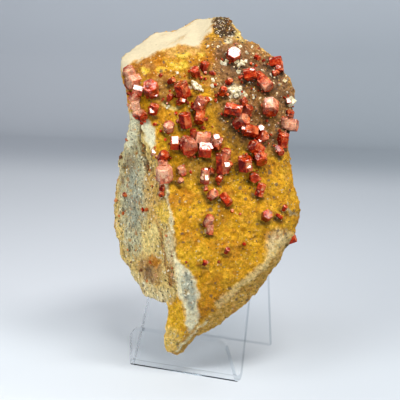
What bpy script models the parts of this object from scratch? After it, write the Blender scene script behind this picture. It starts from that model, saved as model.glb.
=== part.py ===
"""Vanadinite on matrix, standing in a small clear easel bent from one acrylic sheet.

Metres, +Z up. The easel is 38 mm wide along X and faces -Y, and the origin is on the floor under its
V-bend. The specimen stands with its tip in the V and its back on the rest, turned a little to the right.
Its outline, the corners of its broken faces and its crystals are laid out on a grid of 400 by 400 units
that stands square to a line of sight through the specimen's middle: (across, down) in grid units, and a
depth in millimetres beyond that grid's plane.
"""

import math
import random

import bmesh
import bpy
from mathutils import Matrix, Vector, noise
from mathutils.bvhtree import BVHTree
from mathutils.geometry import delaunay_2d_cdt

MM = 0.001
CLEARANCE = 0.3 * MM

# The easel: one sheet with a lip, a V-bend that stands on the floor, a back rest and a rear leg.
EASEL_WIDTH = 38 * MM
EASEL_HEIGHT = 60 * MM
SHEET = 2 * MM
BEND_RADIUS = 1.9 * MM
FOOT_FLAT = 1.2 * MM
LIP_LENGTH = 13.2 * MM
LIP_LEAN = math.radians(16.3)
BACK_LEAN = math.radians(24)
LEG_LEAN = math.radians(3.2)
LIP_TAPER = 0.15
BACK_TAPER = 0.05
LEG_TAPER = -0.03
CORNER_RADIUS = 3 * MM
CORNER_STEPS = 4
BEND_STEPS = 8

# The line of sight that the specimen is laid out along, and the layout grid across it.
MIDDLE = Vector((5.3, 0, 58.4)) * MM
TURN = math.radians(23)
TILT = math.radians(13.5)
EYE_DISTANCE = 345 * MM
GRID_UNIT = 0.3136 * MM
GRID_MIDDLE = 200

RIGHT = Vector((math.cos(TURN), math.sin(TURN), 0))
AHEAD = Vector((-math.sin(TURN) * math.cos(TILT), math.cos(TURN) * math.cos(TILT), -math.sin(TILT)))
UP = RIGHT.cross(AHEAD)
EYE = MIDDLE - EYE_DISTANCE * AHEAD

# The matrix, as corners (across, down, depth) of its broken faces.
OUTLINE = (
    (120, 58, 12), (130, 49, 17), (144, 41, 19), (155, 33, 21), (176, 29.5, 22), (195, 19, 23),
    (205, 17, 21), (228, 16.5, 15), (241, 31, 11), (243, 38, 9), (255, 43, 9), (272, 54, 7),
    (282, 66, 6), (293, 80, 5), (295.5, 97, 4.5), (291, 115, 4.5), (289, 140, 4), (290, 158, 3.5),
    (294, 180, 3), (300.5, 202, 3), (301, 218, 3), (296, 232, 3.5), (286.6, 247, 4), (277, 264, 4.5),
    (268, 278, 5), (258.5, 291, 6), (247, 302, 7.5), (233, 313, 9), (219, 324.5, 10.5),
    (202, 334, 12), (191, 343, 13), (184, 351, 14), (177, 356, 14.5), (167, 351, 14.5),
    (164, 338, 12.5), (164.5, 329, 11.5), (169, 315, 10), (169, 303, 10), (160, 301, 14),
    (145, 296.5, 20), (138.6, 285, 22), (130, 272.6, 24), (122.5, 258.6, 26), (118, 240, 27),
    (113, 230, 28), (112.6, 212, 28), (114, 200, 27), (117, 180, 24), (119.5, 160, 20),
    (124, 140, 14), (128.5, 128, 10), (129, 112, 7), (126, 92, 7), (121.5, 76, 8),
)
TOP_RIM = (
    (126, 62, 8.5), (140, 58.5, 8), (152, 53, 8), (170, 47, 7.5), (183, 43, 7), (200, 45, 6.5),
    (207, 35, 8), (213, 26, 9),
)
RIDGE = (
    (135, 114, 4.5), (146, 119, 2.5), (155, 132, 1.5), (157, 146, 1), (163, 170, 0), (167, 195, -1),
    (172, 230, -1.5), (177, 260, -1), (184, 290, 1.5), (187, 310, 4), (186, 330, 7), (180, 346, 12),
)
RIGHT_BREAK = (
    (238, 44, 6), (262, 68, 2.5), (281, 92, 1), (279, 125, 0.5), (277, 150, 0), (282, 178, -0.5),
    (287, 205, -1), (284, 230, -0.5), (272, 262, 0), (258, 275, 1), (240, 290, 2.5), (215, 306, 5),
    (195, 326, 8.5),
)
LEFT_FACE = (
    (141, 150, 8), (141, 190, 10), (144, 230, 11), (154, 225, 5), (152, 262, 12), (160, 285, 10),
    (128, 215, 21), (127, 185, 19), (168, 270, 3.5), (174, 300, 6),
)
MAIN_FACE = (
    (150, 80, 3), (185, 62, 4), (225, 45, 5), (165, 105, 1.5), (205, 90, 0.5), (240, 85, 1),
    (180, 140, -0.5), (215, 130, -1), (250, 120, 0), (195, 175, -2), (235, 165, -2), (260, 175, -1),
    (190, 215, -2.5), (225, 205, -3), (255, 215, -2.2), (195, 250, -2), (235, 245, -2), (205, 285, 1),
    (235, 275, 0),
)
BACK_FACE = (
    (150, 75, 27), (200, 50, 29), (238, 62, 22), (265, 95, 18), (200, 110, 29), (150, 150, 31),
    (240, 150, 21), (275, 190, 15), (150, 220, 31), (200, 200, 26), (240, 240, 17), (160, 270, 27),
    (200, 285, 20), (190, 325, 17),
)
EDGE_THICKNESS = 3
EDGE_INSET = 0.02
BACK_MIDDLE = (205, 190)

SKIN_VOXEL = 0.9 * MM
MATRIX_TRIANGLES = 4300
LUMPS = ((9 * MM, 0.55 * MM), (4 * MM, 0.35 * MM), (2.2 * MM, 0.2 * MM))
FIBRE_WIDTH = 2.4 * MM
FIBRE_LENGTH = 18 * MM
FIBRE_DEPTH = 0.8 * MM
SEATING_PASSES = 12

# Crystals grown together share a node. Each is (across, down, width, length, turn, lean, spin, rise):
# its middle and its size in grid units; the direction that its free end points to, as an angle on the
# grid from the right and an angle away from the line of sight; its spin about its own axis, from where
# a side face looks most nearly at the eye; and how far its middle stands out of the matrix, in widths.
CRYSTALS = {
    "left_edge_cluster": (
        (130, 73, 14, 12, 120, 55, 10, 0.20), (133, 82, 16, 13, 200, 50, 25, 0.20),
        (137.5, 90.5, 12, 10, 165, 86, 27, 0.30), (135.5, 98, 11, 10, 150, 45, 0, 0.25),
        (136, 106, 10, 10, 100, 60, 30, 0.25),
        (137, 113, 8, 9, 230, 50, 0, 0.25), (142.5, 115.5, 10, 9, -60, 45, 15, 0.25),
    ),
    "left_large": ((151, 88.5, 18.5, 12, 110, 32, 5, 0.24),),
    "left_small": ((153.7, 109, 10.5, 10, 75, 60, 30, 0.30),),
    "upper_red_pair": (
        (182.5, 89.5, 17, 14, 112, 62, 20, 0.28), (181, 101, 8, 7, 30, 50, 30, 0.30),
    ),
    "upper_tiny": ((171.5, 81, 7, 7, 30, 50, 0, 0.30),),
    "upper_orange": ((195.5, 72.5, 11.5, 10, 110, 42, 10, 0.28),),
    "upper_orange_small": ((204.5, 66, 10, 8, 80, 62, 20, 0.22),),
    "tall_pair": (
        (200.5, 103.5, 14, 13, 62, 66, 10, 0.30), (199.5, 115.5, 11.5, 16, -95, 66, 10, 0.32),
        (195.5, 107.5, 8, 8, 150, 50, 0, 0.30), (205.5, 101, 8, 8, 40, 60, 0, 0.35),
    ),
    "red_block": ((185.5, 120, 14, 14, 100, 66, 18, 0.30),),
    "pink_plate": ((169, 127, 13, 8, 95, 38, 10, 0.16),),
    "bright_row": (
        (174.5, 143.4, 16.5, 8.5, 178, 88, 27, 0.14), (188, 146, 19, 14, -55, 38, 10, 0.28),
        (202.5, 139, 15, 14, 172, 80, 44, 0.25), (204.5, 150, 17.5, 12.5, 176, 84, 27, 0.22),
        (216, 140.5, 13, 9, 150, 76, 27, 0.30), (216, 144.8, 10.5, 10, -20, 60, 0, 0.22),
        (193.5, 133, 8, 8, 95, 60, 20, 0.25),
    ),
    "top_bright": ((233.5, 54.5, 16, 9, 71, 27, -12, 0.24),),
    "upper_middle_small": ((223, 91, 8.5, 8, 70, 50, 0, 0.30),),
    "upper_middle_tiny": ((229, 82, 7, 7, 60, 50, 0, 0.25),),
    "right_shoulder": ((279, 59.5, 12.5, 12, 8, 78, 6, 0.25), (280, 65.5, 10, 11, -85, 70, 10, 0.25)),
    "upper_right_pair": (
        (250.5, 74, 13.5, 12, 12, 80, 4, 0.28), (259.5, 77, 10, 9, -40, 60, 10, 0.26),
        (265.5, 84, 13, 13, -50, 60, 10, 0.28),
    ),
    "right_large": ((270.3, 107.5, 18, 13, -90, 54, 12, 0.28),),
    "right_edge_cluster": (
        (290, 115, 8, 9, 80, 50, 0, 0.22), (284.5, 122.5, 9, 10, 100, 65, 30, 0.25),
        (290.5, 125, 14, 14, -5, 70, 20, 0.20),
    ),
    "right_edge_red": (
        (282.5, 139.5, 14, 13, 75, 66, 25, 0.25), (279.5, 150.5, 9, 9, -60, 50, 0, 0.25),
    ),
    "centre_cluster": (
        (244, 103.5, 8, 8, 80, 50, 0, 0.25), (234, 110, 14, 17, -12, 80, -32, 0.28),
        (247.5, 110.5, 10, 10, 60, 55, 0, 0.28), (241.5, 121.5, 14.5, 14, 30, 50, 10, 0.30),
        (250, 130.5, 13, 14, 168, 68, 5, 0.32), (260.5, 129.5, 7.5, 8, 71, 27, 30, 0.36),
        (262, 137, 12.5, 11, 30, 50, 10, 0.26),
        (256, 147.5, 14, 13, 150, 50, 10, 0.30), (259.5, 156.5, 14, 16, -70, 56, 10, 0.30),
    ),
    "lower_hexagon": ((245, 163.5, 17, 13, 95, 62, 28, 0.30),),
    "lower_hollow": ((253.8, 177, 11.5, 9, -60, 26, 0, 0.22),),
    "right_lower": ((260.3, 189.5, 10.5, 13, 72, 76, 30, 0.28),),
    "stepped_cluster": (
        (222, 163, 15, 20, 94, 74, 28, 0.28), (226, 153.5, 11, 9, 80, 52, 0, 0.50),
        (227, 166, 10, 10, 60, 60, 10, 0.48), (219.5, 178, 8, 8, -120, 45, 0, 0.20),
    ),
    "pale_pair": ((205.2, 176, 11.5, 14.5, 86, 70, 18, 0.34), (211.3, 171, 7, 7, 160, 45, 0, 0.25)),
    "lower_brown": ((212.5, 194.5, 10.5, 9, 40, 45, 20, 0.25),),
    "lower_dark": ((226, 199.5, 10, 13, -52, 68, 10, 0.24),),
    "ridge_cluster": (
        (163.5, 156.5, 12, 10, 60, 46, 0, 0.25), (163, 163.5, 12, 9, -90, 50, 30, 0.22),
        (164.3, 173.5, 19.5, 14, 95, 62, 0, 0.28),
    ),
    "ridge_glint": ((154, 152.5, 7, 7, 71, 27, 0, 0.25),),
    "ridge_low": ((162.3, 188.5, 8, 15, -90, 78, 0, 0.24),),
    "ridge_small": ((182, 170.5, 9, 9, 110, 60, 0, 0.30),),
    "right_hexagon": ((266.8, 215.5, 12, 9, 60, 22, 0, 0.28),),
    "lower_pair": ((208.5, 220.5, 11, 10, 60, 50, 30, 0.26), (210, 229, 8.5, 10, 85, 74, 25, 0.28)),
    "lowest_small": ((227, 250.5, 6, 6, 60, 40, 0, 0.25),),
    "right_edge_low": ((292, 240.5, 9, 12, 20, 74, 0, 0.15),),
    "left_face_small": ((145.5, 210, 7, 7, 150, 40, 0, 0.20),),
    "left_face_tiny": ((126, 195, 6, 6, 160, 40, 0, 0.20),),
    "upper_left_tiny": ((170, 97.5, 7, 7, 60, 55, 0, 0.25),),
    "upper_right_tiny": ((274.5, 74, 6, 6, 100, 50, 0, 0.25),),
    "ridge_tiny": ((180.5, 180.5, 6, 5, 60, 40, 0, 0.25),),
    "right_sliver": ((278.5, 216, 5, 9, -35, 75, 0, 0.20),),
    "right_tiny": ((284.5, 208, 6, 6, 60, 50, 0, 0.25),),
    "lowest_tiny": ((205, 262.5, 6, 5, 60, 40, 0, 0.20),),
    "middle_tiny": ((206, 188, 5, 7, -90, 60, 0, 0.20),),
}
# Pale blades of barite, laid out as the crystals are.
BARITES = {
    "barite_upper_left": (
        (196, 85.5, 10, 2.5, 60, 35, 20, 0.14), (193, 83, 7, 2.5, 200, 50, 0, 0.16),
        (199.5, 88, 8, 2.5, -30, 50, 40, 0.16),
    ),
    "barite_upper_right": (
        (232.5, 90, 10, 2.5, 80, 35, 10, 0.14), (236.5, 91.5, 9, 2.5, -20, 50, 40, 0.16),
        (239.5, 88.5, 7, 2.5, 140, 55, 0, 0.18),
    ),
    "barite_shoulder": ((242.5, 63, 8, 2.5, 30, 45, 0, 0.16), (238.5, 65, 7, 2.5, 150, 50, 30, 0.16)),
    "barite_right_edge": ((291.5, 101.5, 10, 5, 60, 40, 30, 0.24), (289, 104, 7, 3, 200, 50, 0, 0.22)),
}
VANADINITE_SIDES = 6
BARITE_SIDES = 4
CHAMFER = 0.035
LEAST_TAPER = 0.92
FLATTENING = 0.12
SEED = 7


def layout_point(across, down, depth):
    """The point on the eye's ray through (across, down), at a depth in millimetres beyond the grid."""
    on_grid = MIDDLE + GRID_UNIT * ((across - GRID_MIDDLE) * RIGHT + (GRID_MIDDLE - down) * UP)
    return EYE + (on_grid - EYE) * (1 + depth * MM / EYE_DISTANCE)


def start_scene():
    for obj in list(bpy.data.objects):
        bpy.data.objects.remove(obj)
    collections = []
    for name in ("vanadinite_on_matrix", "helpers"):
        collection = bpy.data.collections.new(name)
        bpy.context.scene.collection.children.link(collection)
        collections.append(collection)
    return collections


def make_material(name, colour, roughness, transmission=0.0, ior=1.45):
    material = bpy.data.materials.new(name)
    material.use_nodes = True
    shader = material.node_tree.nodes["Principled BSDF"]
    shader.inputs["Base Color"].default_value = (*colour, 1)
    shader.inputs["Roughness"].default_value = roughness
    shader.inputs["Metallic"].default_value = 0
    shader.inputs["Transmission Weight"].default_value = transmission
    shader.inputs["IOR"].default_value = ior
    material.diffuse_color = (*colour, 1)
    return material


def add_object(name, mesh, collection, material=None):
    obj = bpy.data.objects.new(name, mesh)
    collection.objects.link(obj)
    if material:
        mesh.materials.append(material)
    return obj


def mesh_from(name, bm):
    mesh = bpy.data.meshes.new(name)
    bm.normal_update()
    bm.to_mesh(mesh)
    bm.free()
    return mesh


def evaluated_mesh(obj):
    """A new mesh of the object as its modifiers leave it."""
    graph = bpy.context.evaluated_depsgraph_get()
    return bpy.data.meshes.new_from_object(obj.evaluated_get(graph), depsgraph=graph)


# ---------------------------------------------------------------- the easel


def arc(centre, start, end, steps):
    """Points (y, z) on a bend's centre line; an angle of 0 is straight below the centre."""
    angles = (start + (end - start) * i / steps for i in range(steps + 1))
    return [(centre[0] + BEND_RADIUS * math.sin(a), centre[1] - BEND_RADIUS * math.cos(a)) for a in angles]


def moved(point, direction, length):
    return (point[0] + direction[0] * length, point[1] + direction[1] * length)


def trough_line():
    """The sheet's centre line from the lip's top edge, round the V-bend, to the top of the back rest."""
    height = BEND_RADIUS + SHEET / 2
    lip_angle = LIP_LEAN - math.pi / 2
    rest_angle = math.pi / 2 - BACK_LEAN
    front = arc((-FOOT_FLAT / 2, height), lip_angle, 0, BEND_STEPS)
    rear = arc((FOOT_FLAT / 2, height), 0, rest_angle, BEND_STEPS)
    lip_top = moved(front[0], (-math.sin(LIP_LEAN), math.cos(LIP_LEAN)), LIP_LENGTH)
    rise = EASEL_HEIGHT - SHEET / 2 - BEND_RADIUS * (1 - math.sin(BACK_LEAN)) - rear[-1][1]
    rest_top = moved(rear[-1], (math.sin(BACK_LEAN), math.cos(BACK_LEAN)), rise / math.cos(BACK_LEAN))
    return [lip_top, *front, *rear, rest_top]


def leg_line(rest_top):
    """The centre line over the top bend and down the rear leg to its foot on the floor."""
    centre = moved(rest_top, (math.cos(BACK_LEAN), -math.sin(BACK_LEAN)), BEND_RADIUS)
    over = arc(centre, -math.pi / 2 - BACK_LEAN, -math.pi * 1.5 + LEG_LEAN, 2 * BEND_STEPS)[1:]
    drop = (over[-1][1] - SHEET / 2 * math.sin(LEG_LEAN)) / math.cos(LEG_LEAN)
    return [*over, moved(over[-1], (math.sin(LEG_LEAN), -math.cos(LEG_LEAN)), drop)]


def stations():
    """(y, z, half width) along the sheet, with the lip's corners and the foot's rounded off."""
    trough = trough_line()
    bottom = len(trough) // 2
    line = trough + leg_line(trough[-1])
    runs = [math.dist(a, b) for a, b in zip(line, line[1:])]
    reach = [sum(runs[:i]) for i in range(len(line))]
    rest_top = reach[len(trough) - 1]
    half_top = EASEL_WIDTH / 2 - BACK_TAPER * (rest_top - reach[bottom])

    def half_width(along):
        if along < reach[bottom]:
            return EASEL_WIDTH / 2 - LIP_TAPER * (reach[bottom] - along)
        if along < rest_top:
            return EASEL_WIDTH / 2 - BACK_TAPER * (along - reach[bottom])
        return half_top - LEG_TAPER * (along - rest_top)

    def at(along):
        i = max(k for k in range(len(runs)) if reach[k] <= along + 1e-9)
        part = (along - reach[i]) / runs[i]
        y = line[i][0] + (line[i + 1][0] - line[i][0]) * part
        return y, line[i][1] + (line[i + 1][1] - line[i][1]) * part

    rounded = []
    for step in range(CORNER_STEPS + 1):
        angle = math.pi / 2 * step / CORNER_STEPS
        along = CORNER_RADIUS * (1 - math.cos(angle))
        inset = CORNER_RADIUS * (1 - math.sin(angle))
        rounded.append((*at(along), half_width(along) - inset))
    return rounded + [(*line[i], half_width(reach[i])) for i in range(1, len(line))]


def make_easel(collection, material):
    bm = bmesh.new()
    rows = [[bm.verts.new((side * half, y, z)) for side in (-1, 1)] for y, z, half in stations()]
    for low, high in zip(rows, rows[1:]):
        bm.faces.new((low[0], low[1], high[1], high[0]))
    easel = add_object("easel", mesh_from("easel", bm), collection, material)
    sheet = easel.modifiers.new("Sheet", "SOLIDIFY")
    sheet.thickness = SHEET
    sheet.offset = 0
    sheet.use_even_offset = True
    easel.data.shade_smooth()
    easel.data.set_sharp_from_angle(angle=math.radians(30))
    return easel


def seat_planes():
    """The inner faces of the V and the back rest, as (point, inward normal) planes at the clearance."""
    line = trough_line()
    planes = []
    for start, end in zip(line, line[1:]):
        if math.dist(start, end) < 1e-6:
            continue
        along = Vector((0, end[0] - start[0], end[1] - start[1])).normalized()
        inward = Vector((0, -along.z, along.y))
        planes.append((Vector((0, *start)) + inward * (SHEET / 2 + CLEARANCE), inward))
    return planes


def seated(point, planes):
    """The point, moved out of the easel's sheet where the specimen would reach into it."""
    for _ in range(SEATING_PASSES):
        for origin, inward in planes:
            reach = (point - origin).dot(inward)
            if reach < 0:
                point = point - inward * reach
    return point


# ---------------------------------------------------------------- the matrix


def face_mesh(bm, border, corners, lines):
    """Flat triangles between a closed border, loose corners and break lines, all (across, down, depth)."""
    points = [*border, *corners, *(point for line in lines for point in line)]
    count = len(border)
    edges = [(i, (i + 1) % count) for i in range(count)]
    first = count + len(corners)
    for line in lines:
        edges += [(first + i, first + i + 1) for i in range(len(line) - 1)]
        first += len(line)
    flat = [Vector(point[:2]) for point in points]
    _, _, faces, sources, _, _ = delaunay_2d_cdt(flat, edges, [], 1, 1e-4)
    verts = [bm.verts.new(layout_point(*points[source[0]])) for source in sources]
    for face in faces:
        bm.faces.new([verts[i] for i in face])
    ring = {source: verts[i] for i, sources_of in enumerate(sources) for source in sources_of}
    return [ring[i] for i in range(count)]


def rough_block():
    """The matrix as flat broken faces: front, side walls and back."""
    bm = bmesh.new()
    front = face_mesh(bm, OUTLINE, LEFT_FACE + MAIN_FACE, (TOP_RIM, RIDGE, RIGHT_BREAK))
    inner = []
    for across, down, depth in OUTLINE:
        across += (BACK_MIDDLE[0] - across) * EDGE_INSET
        down += (BACK_MIDDLE[1] - down) * EDGE_INSET
        inner.append((across, down, depth + EDGE_THICKNESS))
    back = face_mesh(bm, inner, BACK_FACE, ())
    for i in range(len(front)):
        k = (i + 1) % len(front)
        bm.faces.new((front[i], front[k], back[k], back[i]))
    bmesh.ops.recalc_face_normals(bm, faces=bm.faces)
    return mesh_from("rough_block", bm)


def fibre_share(point):
    """How far a point lies on the left face, where the rock is split into upright fibres: 0 to 1."""
    offset = point - MIDDLE
    past_ridge = -12 * MM - offset.dot(RIGHT)
    return max(0.0, min(1.0, past_ridge / (4 * MM))) * (offset.dot(UP) < 22 * MM)


def roughen(mesh, planes):
    """Lumps and pits all over, and upright splits on the left face; then bedded in the easel."""
    moves = []
    for vertex in mesh.vertices:
        point = vertex.co
        out = sum(depth * noise.noise(point / size) for size, depth in LUMPS)
        share = fibre_share(point)
        if share:
            offset = point - MIDDLE
            grain = Vector((offset.dot(RIGHT), offset.dot(AHEAD), offset.dot(UP) * FIBRE_WIDTH / FIBRE_LENGTH))
            out += share * FIBRE_DEPTH * noise.noise(grain / FIBRE_WIDTH)
        moves.append(point + vertex.normal * out)
    for vertex, point in zip(mesh.vertices, moves):
        vertex.co = seated(point, planes)


def make_matrix(collection, helpers, material):
    planes = seat_planes()
    block = add_object("rough_block", rough_block(), helpers)
    block.hide_render = True
    block.display_type = "WIRE"
    skin = block.modifiers.new("Skin", "REMESH")
    skin.mode = "VOXEL"
    skin.voxel_size = SKIN_VOXEL
    mesh = evaluated_mesh(block)
    roughen(mesh, planes)
    rock = add_object("matrix", mesh, collection, material)
    thin = rock.modifiers.new("Facets", "DECIMATE")
    thin.ratio = MATRIX_TRIANGLES / sum(len(polygon.vertices) - 2 for polygon in mesh.polygons)
    thin.use_collapse_triangulate = True
    faceted = evaluated_mesh(rock)
    rock.modifiers.remove(thin)
    rock.data = faceted
    faceted.name = "matrix"
    for vertex in faceted.vertices:
        vertex.co = seated(vertex.co, planes)
    return rock


# ---------------------------------------------------------------- the crystals


def prism(sides, width, length, draw):
    """A crystal of six or four sides along Z, a little flattened, with its free end chamfered."""
    bm = bmesh.new()
    taper = draw.uniform(LEAST_TAPER, 1)
    bmesh.ops.create_cone(
        bm, segments=sides, radius1=width / 2, radius2=width / 2 * taper, depth=length, cap_ends=True
    )
    end = max(bm.faces, key=lambda face: face.calc_center_median().z)
    bmesh.ops.bevel(
        bm, geom=list(end.edges), offset=width * CHAMFER, segments=1, affect="EDGES", clamp_overlap=True
    )
    flatter = Matrix.Diagonal((1, draw.uniform(1 - FLATTENING, 1), 1, 1))
    bmesh.ops.transform(bm, matrix=flatter, verts=bm.verts)
    return bm


def crystal_axes(turn, lean):
    """A crystal's axes: X across a side face, as nearly at the eye as it can be, and Z to the free end."""
    across = math.cos(math.radians(turn)) * RIGHT + math.sin(math.radians(turn)) * UP
    along = math.sin(math.radians(lean)) * across - math.cos(math.radians(lean)) * AHEAD
    facing = -AHEAD + along * AHEAD.dot(along)
    facing.normalize()
    return Matrix((facing, along.cross(facing), along)).transposed().to_4x4()


def placed_crystal(name, sides, entry, surface, helpers, draw):
    """One crystal as a helper object, and the direction in which the matrix faces under it."""
    across, down, width, length, turn, lean, spin, rise = entry
    towards = (layout_point(across, down, 0) - EYE).normalized()
    hit, normal, _, _ = surface.ray_cast(EYE, towards)
    if hit is None:
        hit, normal, _, _ = surface.find_nearest(layout_point(across, down, 5))
    scale = GRID_UNIT * (hit - EYE).length / EYE_DISTANCE
    middle = hit - towards * rise * width * scale
    spun = Matrix.Rotation(math.radians(spin), 4, "Z")
    place = Matrix.Translation(middle) @ crystal_axes(turn, lean) @ spun
    bm = prism(sides, width * scale, length * scale, draw)
    bmesh.ops.transform(bm, matrix=place, verts=bm.verts)
    crystal = add_object(name, mesh_from(name, bm), helpers)
    crystal.hide_render = True
    crystal.display_type = "WIRE"
    return crystal, normal


def joined_to(obj, other, operation):
    modifier = obj.modifiers.new(operation.title(), "BOOLEAN")
    modifier.operation = operation
    modifier.solver = "EXACT"
    modifier.object = other


def largest_piece(mesh):
    """Keeps the largest connected piece of the mesh, as a crystal can be cut through by a lump."""
    bm = bmesh.new()
    bm.from_mesh(mesh)
    bmesh.ops.remove_doubles(bm, verts=bm.verts, dist=0.002 * MM)
    bmesh.ops.triangulate(bm, faces=bm.faces)
    left = set(bm.verts)
    pieces = []
    while left:
        piece, edge = set(), [left.pop()]
        while edge:
            vertex = edge.pop()
            piece.add(vertex)
            near = {link.other_vert(vertex) for link in vertex.link_edges} & left
            left -= near
            edge.extend(near)
        pieces.append(piece)
    pieces.sort(key=len)
    loose = [vertex for piece in pieces[:-1] for vertex in piece]
    bmesh.ops.delete(bm, geom=loose, context="VERTS")
    bm.normal_update()
    bm.to_mesh(mesh)
    bm.free()


def make_crystals(groups, sides, collection, helpers, matrix, material):
    surface = BVHTree.FromObject(matrix, bpy.context.evaluated_depsgraph_get())
    draw = random.Random(SEED)
    for name, entries in groups.items():
        placed = [
            placed_crystal(f"{name}_{i}", sides, entry, surface, helpers, draw)
            for i, entry in enumerate(entries)
        ]
        away = sum((normal for _, normal in placed), Vector()).normalized() * CLEARANCE
        first = placed[0][0]
        for crystal, _ in placed:
            crystal.data.transform(Matrix.Translation(-away))
            if crystal is not first:
                joined_to(first, crystal, "UNION")
        joined_to(first, matrix, "DIFFERENCE")
        mesh = evaluated_mesh(first)
        mesh.transform(Matrix.Translation(away))
        mesh.name = name
        largest_piece(mesh)
        for crystal, _ in placed:
            bpy.data.objects.remove(crystal)
        add_object(name, mesh, collection, material)


def main():
    collection, helpers = start_scene()
    acrylic = make_material("clear_acrylic", (0.95, 0.97, 1.0), 0.03, transmission=1.0, ior=1.49)
    ochre = make_material("ochre_matrix", (0.55, 0.34, 0.08), 0.85)
    vanadinite = make_material("vanadinite", (0.5, 0.03, 0.015), 0.15)
    barite = make_material("barite", (0.85, 0.8, 0.62), 0.5)
    make_easel(collection, acrylic)
    matrix = make_matrix(collection, helpers, ochre)
    make_crystals(CRYSTALS, VANADINITE_SIDES, collection, helpers, matrix, vanadinite)
    make_crystals(BARITES, BARITE_SIDES, collection, helpers, matrix, barite)


main()
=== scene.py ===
"""The looks of a vanadinite specimen in its clear easel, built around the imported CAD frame.

Metres, +Z up. The rock's markings are laid out on a grid of 400 by 400 units that stands square to the
camera's line of sight, as places (across, down); each place is carried along that sight onto the rock.
"""

import math

import bmesh
import bpy
import numpy as np
from mathutils import Matrix, Vector, noise
from mathutils.bvhtree import BVHTree


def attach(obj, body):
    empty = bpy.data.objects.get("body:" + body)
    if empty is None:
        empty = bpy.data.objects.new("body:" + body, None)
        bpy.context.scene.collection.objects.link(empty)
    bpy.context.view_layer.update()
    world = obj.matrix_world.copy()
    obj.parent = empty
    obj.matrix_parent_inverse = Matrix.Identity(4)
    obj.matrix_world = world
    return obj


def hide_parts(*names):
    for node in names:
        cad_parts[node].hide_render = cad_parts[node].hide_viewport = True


MM = 0.001

# The camera's sight through the specimen's middle, and the layout grid across it.
MIDDLE = Vector((5.3, 0, 58.4)) * MM
TURN = math.radians(23)
TILT = math.radians(13.5)
EYE_DISTANCE = 345 * MM
GRID_UNIT = 0.3136 * MM
GRID_MIDDLE = 200
GRID_SIZE = 400
FILM_WIDTH = 36

RIGHT = Vector((math.cos(TURN), math.sin(TURN), 0))
AHEAD = Vector((-math.sin(TURN) * math.cos(TILT), math.cos(TURN) * math.cos(TILT), -math.sin(TILT)))
UP = RIGHT.cross(AHEAD)
EYE = MIDDLE - EYE_DISTANCE * AHEAD

# The rock's skin: how it is remeshed, its collars round the crystals, and the shadow painted below them.
ROCK_VOXEL = 0.45 * MM
ROCK_SMOOTHING = 6
FRONT_FADE = (-0.05, 0.3)
COLLAR_HEIGHT = 0.42 * MM
COLLAR_REACH = 1.5 * MM
PAINTED_SHADOW_REACH = 1.9 * MM
PAINTED_SHADOW_STRENGTH = 0.84
FISSURE_DEPTH = 1.1 * MM
FISSURE_WIDTH = 1.3
MARK_DRIFT = 2.6
EASEL_GAP = 0.08 * MM
EASEL_SEARCH = 3 * MM

# Grains, small crystals and flakes that lie on the rock.
SEED = 11
GRAIN_COUNT = 6800
GRAIN_RADIUS = (0.15 * MM, 0.42 * MM)
GRAIN_SINK = 0.25
PIECE_ROOM = 0.9 * MM
TINY_CRYSTALS = 150
TINY_RADIUS = (0.22, 0.62)
TINY_BAND = (56, 66, 160, 196)
TINY_LEFT_END = 126
FLAKES_PER_PLACE = 3

# The crystals' facets and edges, and the growth steps on them.
WELD = 0.004 * MM
FACET_FLATNESS = math.radians(1.5)
EDGE_ANGLE = math.radians(14)
SHADING_ANGLE = math.radians(40)
CRYSTAL_BEVEL = 0.13 * MM
BARITE_BEVEL = 0.05 * MM
STEP_AREA = 2.2 * MM * MM
STEPS_PER_FACET = 3
SMALLEST_STEP = 0.18 * MM
BLOCK_LEAN = 0.5
# Facets turned to this side are painted lighter, and those turned from it darker: painted light and shade.
PAINTED_LIT_SIDE = RIGHT * 0.72 + AHEAD * -0.62 + Vector((0, 0, 0.15))

# The easel's sheet: its sawn sides and ends have materials of their own.
SHEET_FLATNESS = math.radians(0.5)
ACRYLIC_IOR = 1.09
END_IOR = 1.0
END_THICKNESS = 2.6 * MM
CUT_ANGLE = math.radians(60)
SIDE_FACING = 0.8

# The stage, in metres: a table that curves up into a backdrop, and softboxes placed from the specimen's
# middle, by (name, (to the camera's right, up, towards the camera), (width, height), watts, tone).
STAGE_TURN = math.radians(12)
TABLE_FRONT, BACKDROP_AWAY, BACKDROP_CURVE = -0.9, 0.40, 0.06
BACKDROP_TOP, STAGE_HALF_WIDTH = 0.9, 1.6
CURVE_STEPS = 16
KEY_PLACE = (0.115, 0.49, 0.17)
SOFTBOXES = (
    ("key_softbox", KEY_PLACE, (0.24, 0.12), 2.3, (1, 0.985, 0.96)),
    ("top_softbox", (-0.13, 0.49, 0.06), (0.15, 0.15), 0.5, (1, 1, 1)),
    ("back_softbox", (0.24, 0.43, -0.12), (0.13, 0.13), 0.45, (1, 1, 1)),
    ("side_softbox", (0.38, 0.28, 0.18), (0.12, 0.12), 0.9, (1, 1, 1)),
    ("fill_softbox", (-0.38, 0.13, 0.24), (0.3, 0.3), 1.6, (0.97, 0.99, 1)),
)
UNMIRRORED = "fill_softbox"
SKY_TONE, SKY_STRENGTH = (0.80, 0.88, 1.0, 1), 0.16


def colour(red, green, blue):
    """Linear colour from display values of 0 to 255."""
    return tuple((value / 255) ** 2.2 for value in (red, green, blue))


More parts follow.
